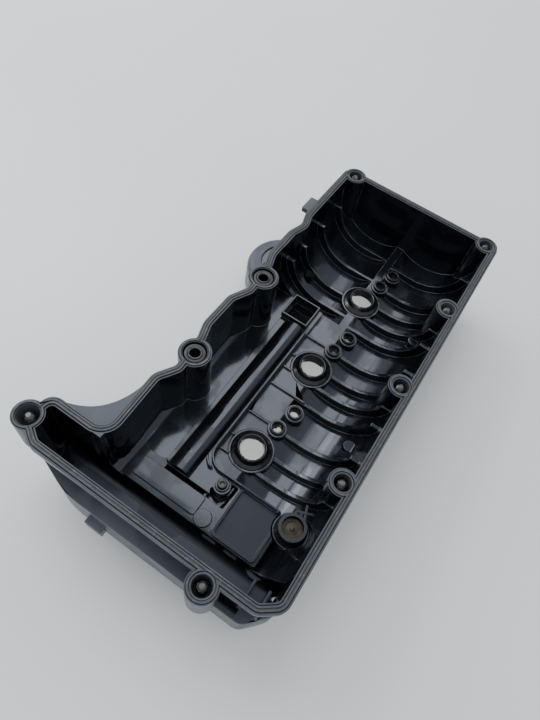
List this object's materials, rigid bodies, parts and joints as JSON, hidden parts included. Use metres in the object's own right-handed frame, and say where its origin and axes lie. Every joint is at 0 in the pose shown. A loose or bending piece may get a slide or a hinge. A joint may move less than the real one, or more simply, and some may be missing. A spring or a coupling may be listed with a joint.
{
  "type": "cylinder head cover",
  "caption": "Moulded cylinder head cover lying on its outer side, with its gasket face and ribbed inside up, injector openings, oil separator plate, captive bolts and a filler cap.",
  "frame": {"origin": "middle of the outer side's lowest points, centre of the box", "axes": "+Z out of the gasket face, +X along the bank towards the square end, +Y towards the scalloped side"},
  "size_m": [0.3712, 0.203, 0.0808],
  "materials": {
    "shell_plastic": "moulded glass-filled nylon, glossy and oily inside, dull outside",
    "plate_plastic": "moulded nylon, oily gloss",
    "gasket_rubber": "dull moulded rubber",
    "seal_rubber": "wet-looking black rubber",
    "bush_rubber": "dull black rubber",
    "bolt_steel": "dark phosphated steel",
    "washer_steel": "plated steel",
    "sleeve_steel": "dull steel",
    "screw_steel": "plated steel",
    "clip_steel": "spring steel",
    "spring_steel": "spring steel",
    "valve_plastic": "moulded plastic",
    "valve_disc": "translucent brown-grey plastic",
    "cap_plastic": "moulded plastic, fine grain",
    "lid_plastic": "moulded plastic",
    "piston_plastic": "moulded plastic",
    "insert_brass": "turned brass"
  },
  "bodies": {
    "root": {"bolt_bush_1": "bush_rubber", "bolt_bush_2": "bush_rubber", "bolt_bush_3": "bush_rubber", "bolt_bush_4": "bush_rubber", "bolt_bush_5": "bush_rubber", "bolt_bush_6": "bush_rubber", "bolt_bush_7": "bush_rubber", "breather_nozzle": "lid_plastic", "cover_shell": "shell_plastic", "diaphragm": "seal_rubber", "injector_seal_1": "seal_rubber", "injector_seal_2": "seal_rubber", "injector_seal_3": "seal_rubber", "perimeter_gasket": "gasket_rubber", "plate_screw": "screw_steel", "regulator_lid": "lid_plastic", "regulator_spring": "spring_steel", "separator_plate": "plate_plastic", "sleeve_grommet_1": "bush_rubber", "sleeve_grommet_2": "bush_rubber", "spacer_sleeve_1": "sleeve_steel", "spacer_sleeve_2": "sleeve_steel", "stud_seal_1": "seal_rubber", "stud_seal_2": "seal_rubber", "stud_seal_3": "seal_rubber", "stud_seal_4": "seal_rubber", "stud_seal_5": "seal_rubber", "stud_seal_6": "seal_rubber", "trim_insert_1": "insert_brass", "trim_insert_2": "insert_brass", "trim_insert_3": "insert_brass", "trim_insert_4": "insert_brass", "valve_clip": "clip_steel", "valve_cup": "valve_plastic"},
    "washer_1_body": {"washer_1": "washer_steel"},
    "bolt_1_body": {"bolt_1": "bolt_steel"},
    "washer_2_body": {"washer_2": "washer_steel"},
    "bolt_2_body": {"bolt_2": "bolt_steel"},
    "washer_3_body": {"washer_3": "washer_steel"},
    "bolt_3_body": {"bolt_3": "bolt_steel"},
    "washer_4_body": {"washer_4": "washer_steel"},
    "bolt_4_body": {"bolt_4": "bolt_steel"},
    "washer_5_body": {"washer_5": "washer_steel"},
    "bolt_5_body": {"bolt_5": "bolt_steel"},
    "washer_6_body": {"washer_6": "washer_steel"},
    "bolt_6_body": {"bolt_6": "bolt_steel"},
    "washer_7_body": {"washer_7": "washer_steel"},
    "bolt_7_body": {"bolt_7": "bolt_steel"},
    "cap": {"filler_cap": "cap_plastic", "cap_seal": "seal_rubber"},
    "piston": {"regulator_piston": "piston_plastic"},
    "valve_disc_body": {"valve_disc": "valve_disc"}
  },
  "joints": [
    {"name": "bolt_1_float", "type": "slide", "parent": "root", "child": "washer_1_body", "axis": [0, 0, 1], "range_m": [0, 0.008]},
    {"name": "bolt_1_turn", "type": "hinge", "parent": "washer_1_body", "child": "bolt_1_body", "pos_m": [-0.157, 0.091, 0.06], "axis": [0, 0, 1], "continuous": true},
    {"name": "bolt_2_float", "type": "slide", "parent": "root", "child": "washer_2_body", "axis": [0, 0, 1], "range_m": [0, 0.008]},
    {"name": "bolt_2_turn", "type": "hinge", "parent": "washer_2_body", "child": "bolt_2_body", "pos_m": [0.176, 0.038, 0.06], "axis": [0, 0, 1], "continuous": true},
    {"name": "bolt_3_float", "type": "slide", "parent": "root", "child": "washer_3_body", "axis": [0, 0, 1], "range_m": [0, 0.008]},
    {"name": "bolt_3_turn", "type": "hinge", "parent": "washer_3_body", "child": "bolt_3_body", "pos_m": [0.176, -0.091, 0.06], "axis": [0, 0, 1], "continuous": true},
    {"name": "bolt_4_float", "type": "slide", "parent": "root", "child": "washer_4_body", "axis": [0, 0, 1], "range_m": [0, 0.008]},
    {"name": "bolt_4_turn", "type": "hinge", "parent": "washer_4_body", "child": "bolt_4_body", "pos_m": [0.091, -0.091, 0.06], "axis": [0, 0, 1], "continuous": true},
    {"name": "bolt_5_float", "type": "slide", "parent": "root", "child": "washer_5_body", "axis": [0, 0, 1], "range_m": [0, 0.008]},
    {"name": "bolt_5_turn", "type": "hinge", "parent": "washer_5_body", "child": "bolt_5_body", "pos_m": [0.006, -0.091, 0.06], "axis": [0, 0, 1], "continuous": true},
    {"name": "bolt_6_float", "type": "slide", "parent": "root", "child": "washer_6_body", "axis": [0, 0, 1], "range_m": [0, 0.008]},
    {"name": "bolt_6_turn", "type": "hinge", "parent": "washer_6_body", "child": "bolt_6_body", "pos_m": [-0.079, -0.091, 0.06], "axis": [0, 0, 1], "continuous": true},
    {"name": "bolt_7_float", "type": "slide", "parent": "root", "child": "washer_7_body", "axis": [0, 0, 1], "range_m": [0, 0.008]},
    {"name": "bolt_7_turn", "type": "hinge", "parent": "washer_7_body", "child": "bolt_7_body", "pos_m": [-0.1755, -0.0556, 0.06], "axis": [0, 0, 1], "continuous": true},
    {"name": "filler_cap_turn", "type": "hinge", "parent": "root", "child": "cap", "pos_m": [-0.123, -0.048, 0.006], "axis": [0, 0, 1], "range_deg": [0, 90]},
    {"name": "regulator_stroke", "type": "slide", "parent": "root", "child": "piston", "axis": [0, 0, 1], "range_m": [-0.002, 0.003], "stiffness_N_per_m": 400, "deforming": ["regulator_spring"]},
    {"name": "valve_disc_lift", "type": "slide", "parent": "root", "child": "valve_disc_body", "axis": [0, 0, 1], "range_m": [0, 0.0008]}
  ]
}
